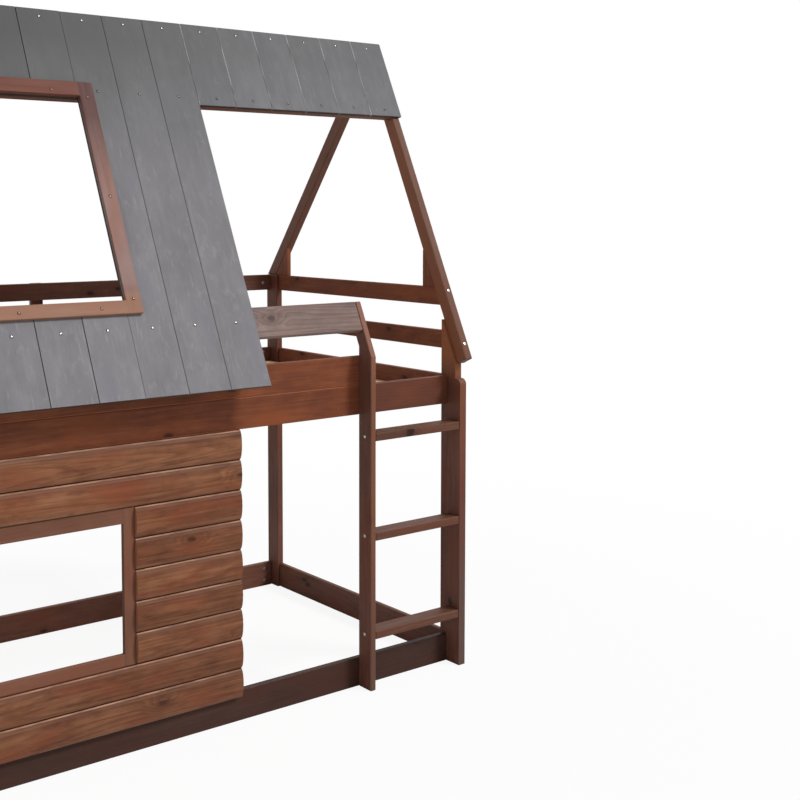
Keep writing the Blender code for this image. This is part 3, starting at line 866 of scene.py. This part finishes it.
def dress(name, seed):
    wood = Wood("wood_" + name, node_look(name), node_axes(name), seed)
    log_height = lay_grain(wood, name)
    colour = weather(wood, name, wood.build(), log_height)
    material = wood.finish(colour)
    for slot in nodes[name].material_slots:
        slot.material = material


def steel(name, tones, rim):
    """Plated steel, tarnished in patches, with painted shade from its rim outward, where it meets
    the wood.
    """
    s = Shader(name)
    place = s.object_place()
    brushed = s.noise(place, *BRUSHING)
    colour = s.ramp(s.noise(place, TARNISH_SCALE), tuple(zip(STEEL_TONES, tones)))
    part = s.separate(place)
    # Painted shade round the head's rim, where it sits in the wood
    out = s.vector("LENGTH", s.combine(part[0], part[1], 0.0))
    shade = s.spread(out, rim, rim + RIM_WIDTH, end=RIM_STRENGTH)
    colour = s.mix(shade, colour, linear(RIM_SHADE_COLOUR))
    s.put(s.surface.inputs["Base Color"], colour)
    s.put(s.surface.inputs["Metallic"], 1.0)
    s.put(s.surface.inputs["Roughness"], s.spread(brushed, *BRUSHED_ROUGHNESS_FADE))
    s.bump(brushed, BRUSHING_DEPTH, BRUSHING_STRENGTH)
    return s.material


def turned_mesh(name, profile, material):
    """A solid of revolution about Z through the (radius, height) points of profile."""
    shape = bmesh.new()
    rings = []
    for radius, height in profile:
        ring = []
        for step in range(HEAD_SIDES):
            turn = 2 * math.pi * step / HEAD_SIDES
            point = (radius * math.cos(turn), radius * math.sin(turn), height)
            ring.append(shape.verts.new(point))
        rings.append(ring)
    for lower, upper in zip(rings, rings[1:]):
        for step in range(HEAD_SIDES):
            following = (step + 1) % HEAD_SIDES
            shape.faces.new((lower[step], lower[following], upper[following], upper[step]))
    shape.faces.new(list(reversed(rings[0])))
    shape.faces.new(rings[-1])
    mesh = bpy.data.meshes.new(name)
    shape.to_mesh(mesh)
    shape.free()
    mesh.materials.append(material)
    return mesh


def cutter_mesh(size, turn, height):
    """A box turned about Z, with its centre at height."""
    shape = bmesh.new()
    bmesh.ops.create_cube(shape, size=1.0)
    place = Matrix.Translation((0, 0, height)) @ Matrix.Rotation(turn, 4, "Z")
    shape.transform(place @ Matrix.Diagonal((*size, 1)))
    mesh = bpy.data.meshes.new("cutter")
    shape.to_mesh(mesh)
    shape.free()
    return mesh


def cut_mesh(solid, cutters):
    """solid's mesh less the cutter boxes, given as (size, turn about Z, height of the centre)."""
    body = bpy.data.objects.new("cut_body", solid)
    bpy.context.scene.collection.objects.link(body)
    helpers = []
    for number, cutter in enumerate(cutters):
        helper = bpy.data.objects.new("cutter_%d" % number, cutter_mesh(*cutter))
        bpy.context.scene.collection.objects.link(helper)
        helpers.append(helper)
        step = body.modifiers.new("cut", "BOOLEAN")
        step.operation = "DIFFERENCE"
        step.solver = "EXACT"
        step.object = helper
    bpy.context.view_layer.update()
    graph = bpy.context.evaluated_depsgraph_get()
    result = bpy.data.meshes.new_from_object(body.evaluated_get(graph))
    for made in helpers + [body]:
        bpy.data.objects.remove(made)
    return result


def head_mesh(name, radius, height, slots, material):
    """A domed head with driver slots, its seat just under the surface it sits on."""
    count, width = slots
    profile = [(radius * SEAT_SHARE, -SINK)]
    profile += [(radius * across, height * up) for across, up in DOME_SHARES]
    slot = (radius * SLOT_LENGTH_SHARE, radius * width, height * SLOT_DEPTH_SHARE)
    cutters = [(slot, math.pi * turn / count, height) for turn in range(count)]
    return cut_mesh(turned_mesh(name, profile, material), cutters)


def fasten(label, mesh, places, outward):
    """Sets one head at each place, facing outward, each turned its own way by the driver."""
    upright = outward.to_track_quat("Z", "Y").to_matrix().to_4x4()
    for number, place in enumerate(places, 1):
        head = bpy.data.objects.new("%s_%02d" % (label, number), mesh)
        bpy.context.scene.collection.objects.link(head)
        turn = Matrix.Rotation(number * HEAD_TURN, 4, "Z")
        head.matrix_world = Matrix.Translation(place) @ upright @ turn
        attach(head, "root")


def reach(name, direction):
    """How far a node reaches along a direction, low and high."""
    spans = [direction.dot(vertex.co) for vertex in nodes[name].data.vertices]
    return min(spans), max(spans)


class Roof:
    """The front slope: places on it are given by x and by metres down from the ridge."""

    def __init__(self):
        self.up, self.out = roof_axes()[:2]
        self.ridge = reach("roof_board_01", self.up)[1] + BOARD_TOP_DROP

    def down(self, name):
        low, high = reach(name, self.up)
        return self.ridge - high, self.ridge - low

    def point(self, name, x, drop):
        face = reach(name, self.out)[1]
        return Vector((x, 0, 0)) + self.up * (self.ridge - drop) + self.out * face


def roof_screw_places(roof, rows):
    """One screw in the middle of each board, in each of the rows that it reaches."""
    places = []
    for name in sorted(nodes):
        if not name.startswith("roof_board"):
            continue
        low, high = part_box(name)
        near, far = roof.down(name)
        columns = max(1, round((high.x - low.x) / BOARD_PITCH))
        width = (high.x - low.x) / columns
        middles = [low.x + width * (column + 0.5) for column in range(columns)]
        for row in rows:
            if near + SCREW_RADIUS < row < far - SCREW_RADIUS:
                places += [roof.point(name, x, row) for x in middles]
    return places


def window_screw_places(roof):
    """Three screws in each upright of the roof window's frame, two in its head, two in its sill."""
    name = "roof_window_frame"
    low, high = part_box(name)
    near, far = roof.down(name)
    side = ROOF_STILE / 2
    middle = (near + far) / 2 + MIDDLE_SCREW_DROP
    drops = (near + TOP_CORNER_SCREW, middle, far - LOW_CORNER_SCREW)
    places = [roof.point(name, x, drop) for x in (low.x + side, high.x - side) for drop in drops]
    heads = (low.x + HEAD_SCREW_INSET, high.x - HEAD_SCREW_INSET)
    sills = (low.x + SILL_SCREW_INSETS[0], high.x - SILL_SCREW_INSETS[1])
    places += [roof.point(name, x, near + HEAD_SCREW) for x in heads]
    places += [roof.point(name, x, far - SILL_SCREW) for x in sills]
    return places


def rafter_screw_places(roof):
    places = []
    for name in ("left_front_rafter", "right_front_rafter"):
        low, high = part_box(name)
        places += [roof.point(name, (low.x + high.x) / 2, drop) for drop in RAFTER_SCREWS]
    return places


def rung_places(x):
    places = []
    for number in (1, 2, 3):
        low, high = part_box("ladder_rung_%d" % number)
        places.append(Vector((x, (low.y + high.y) / 2, (low.z + high.z) / 2)))
    return places


def rail_heights(name):
    """Heights of a long rail's bolts: two in a wide rail, one in a guard."""
    low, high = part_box(name)
    middle = (low.z + high.z) / 2
    if high.z - low.z < WIDE_RAIL:
        return [middle]
    if "deck" in name:
        return [middle, middle + DECK_BOLT_RISE]
    return [middle - BOLT_SPREAD, middle + BOLT_SPREAD]


def bolt_rails(bolt, nut):
    """Bolts through the posts into the long rails' ends, and barrel nuts in their inner faces."""
    front = ("front_bottom_rail", "front_deck_rail")
    rear = ("rear_bottom_rail", "rear_deck_rail", "rear_lower_guard", "rear_upper_guard")
    for name in front + rear:
        low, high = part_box(name)
        heights = rail_heights(name)
        inner = high.y if name in front else low.y
        ends = (low.x + NUT_INSET, high.x - NUT_INSET)
        nuts = [Vector((x, inner, z)) for x in ends for z in heights]
        fasten(name + "_nut", nut, nuts, BACK if name in front else -BACK)
        for side, outward in (("left", -ACROSS), ("right", ACROSS)):
            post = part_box("%s_%s_post" % ("front" if name in front else "rear", side))
            x = post[1].x if side == "right" else post[0].x
            bolts = [Vector((x, (low.y + high.y) / 2, z)) for z in heights]
            fasten("%s_%s_bolt" % (name, side), bolt, bolts, outward)


def slat_screw_places():
    low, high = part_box("slat_base")
    middles = [END_SLAT * (2 * slat / (SLAT_COUNT - 1) - 1) for slat in range(SLAT_COUNT)]
    ledgers = (low.y + LEDGER_INSET, high.y - LEDGER_INSET)
    return [Vector((x, y, high.z)) for x in middles for y in ledgers]


def dress_fasteners():
    roof = Roof()
    worn = steel("worn_steel", WORN_STEEL, SCREW_RADIUS * WORN_RIM_SHARE)
    tarnished = steel("tarnished_steel", TARNISHED_STEEL, SCREW_RADIUS * WORN_RIM_SHARE)
    bright = steel("bright_steel", BRIGHT_STEEL, BIG_SCREW_RADIUS * CLEAN_RIM_SHARE)
    dulled = steel("dulled_steel", DULLED_STEEL, SCREW_RADIUS * DULLED_RIM_SHARE)
    zinc = steel("zinc_steel", ZINC_STEEL, NUT_RADIUS * CLEAN_RIM_SHARE)
    screw = head_mesh("screw_head", SCREW_RADIUS, SCREW_HEIGHT, SCREW_SLOTS, worn)
    dark_screw = head_mesh("tarnished_head", SCREW_RADIUS, SCREW_HEIGHT, SCREW_SLOTS, tarnished)
    big_screw = head_mesh("big_screw_head", BIG_SCREW_RADIUS, SCREW_HEIGHT, BIG_SCREW_SLOTS, bright)
    trim_screw = head_mesh("trim_screw_head", SCREW_RADIUS, SCREW_HEIGHT, SCREW_SLOTS, dulled)
    nut = head_mesh("nut_end", NUT_RADIUS, NUT_HEIGHT, NUT_SLOTS, zinc)
    bolt = head_mesh("bolt_head", BOLT_RADIUS, BOLT_HEIGHT, BOLT_SLOTS, zinc)
    upper = roof_screw_places(roof, SCREW_ROWS[:2])
    lower = roof_screw_places(roof, SCREW_ROWS[2:])
    fasten("roof_screw", screw, upper[::2] + lower, roof.out)
    fasten("tarnished_screw", dark_screw, upper[1::2], roof.out)
    fasten("window_screw", trim_screw, window_screw_places(roof), roof.out)
    fasten("rafter_screw", big_screw, rafter_screw_places(roof), roof.out)
    fasten("stile_screw", big_screw, rung_places(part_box("ladder_stile")[0].x), -ACROSS)
    fasten("post_screw", big_screw, rung_places(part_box("front_right_post")[1].x), ACROSS)
    fasten("slat_screw", screw, slat_screw_places(), UP)
    bolt_rails(bolt, nut)


def aim_camera():
    data = bpy.data.cameras.new("camera")
    data.lens = LENS
    data.sensor_width = SENSOR_WIDTH
    data.shift_x = SHIFT_ACROSS
    data.shift_y = SHIFT_UP
    camera = bpy.data.objects.new("camera", data)
    camera.location = EYE
    camera.rotation_euler = (math.radians(90 - DOWNWARD), 0, math.radians(-HEADING))
    bpy.context.scene.collection.objects.link(camera)
    bpy.context.scene.camera = camera


def add_sun(name, strength, softness, azimuth, height):
    """A lamp azimuth degrees right of the front, as seen from the object, and height up."""
    data = bpy.data.lights.new(name, "SUN")
    data.energy = strength
    data.angle = math.radians(softness)
    lamp = bpy.data.objects.new(name, data)
    lamp.rotation_euler = (math.radians(90 - height), 0, math.radians(azimuth))
    bpy.context.scene.collection.objects.link(lamp)


def light_world():
    world = bpy.data.worlds.new("studio")
    world.use_nodes = True
    tree = world.node_tree
    rays = tree.nodes.new("ShaderNodeLightPath")
    first = tree.nodes.new("ShaderNodeMath")
    first.operation = "MAXIMUM"
    tree.links.new(rays.outputs["Is Camera Ray"], first.inputs[0])
    tree.links.new(rays.outputs["Is Glossy Ray"], first.inputs[1])
    seen = tree.nodes.new("ShaderNodeMath")
    seen.operation = "MAXIMUM"
    tree.links.new(first.outputs[0], seen.inputs[0])
    tree.links.new(rays.outputs["Is Transmission Ray"], seen.inputs[1])
    level = tree.nodes.new("ShaderNodeMapRange")
    level.inputs["To Min"].default_value = WORLD_LIGHT
    level.inputs["To Max"].default_value = WORLD_SEEN
    tree.links.new(seen.outputs[0], level.inputs["Value"])
    ground = tree.nodes["Background"]
    ground.inputs["Color"].default_value = (1, 1, 1, 1)
    tree.links.new(level.outputs[0], ground.inputs["Strength"])
    bpy.context.scene.world = world


def floor_material():
    """A pale floor that takes the object's shadow near it, and is white to the camera."""
    s = Shader("floor")
    s.put(s.surface.inputs["Base Color"], linear(FLOOR_COLOUR))
    s.put(s.surface.inputs["Roughness"], FLOOR_ROUGHNESS)
    s.put(s.surface.inputs["Specular IOR Level"], 0.0)
    rays = s.tree.nodes.new("ShaderNodeLightPath")
    white = s.tree.nodes.new("ShaderNodeEmission")
    shown = s.tree.nodes.new("ShaderNodeMixShader")
    part = s.separate(s.object_place())
    out = s.vector("LENGTH", s.combine(part[0], part[1], 0.0))
    share = s.spread(out, *FLOOR_WHITE_FADE, smooth=True)
    s.put(shown.inputs[0], s.times(rays.outputs["Is Camera Ray"], share))
    s.tree.links.new(s.surface.outputs[0], shown.inputs[1])
    s.tree.links.new(white.outputs[0], shown.inputs[2])
    s.tree.links.new(shown.outputs[0], s.tree.nodes["Material Output"].inputs["Surface"])
    return s.material


def lay_floor():
    shape = bmesh.new()
    bmesh.ops.create_grid(shape, x_segments=1, y_segments=1, size=FLOOR_REACH)
    mesh = bpy.data.meshes.new("floor")
    shape.to_mesh(mesh)
    shape.free()
    mesh.materials.append(floor_material())
    floor = bpy.data.objects.new("floor", mesh)
    floor.location.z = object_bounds()[0][2] - FLOOR_DROP
    bpy.context.scene.collection.objects.link(floor)


for seed, name in enumerate(sorted(nodes)):
    dress(name, seed)
dress_fasteners()
aim_camera()
light_world()
add_sun("key", strength=2.2, softness=14, azimuth=38, height=42)
add_sun("fill", strength=0.2, softness=40, azimuth=-50, height=35)
lay_floor()

bpy.context.scene.view_settings.view_transform = "Standard"
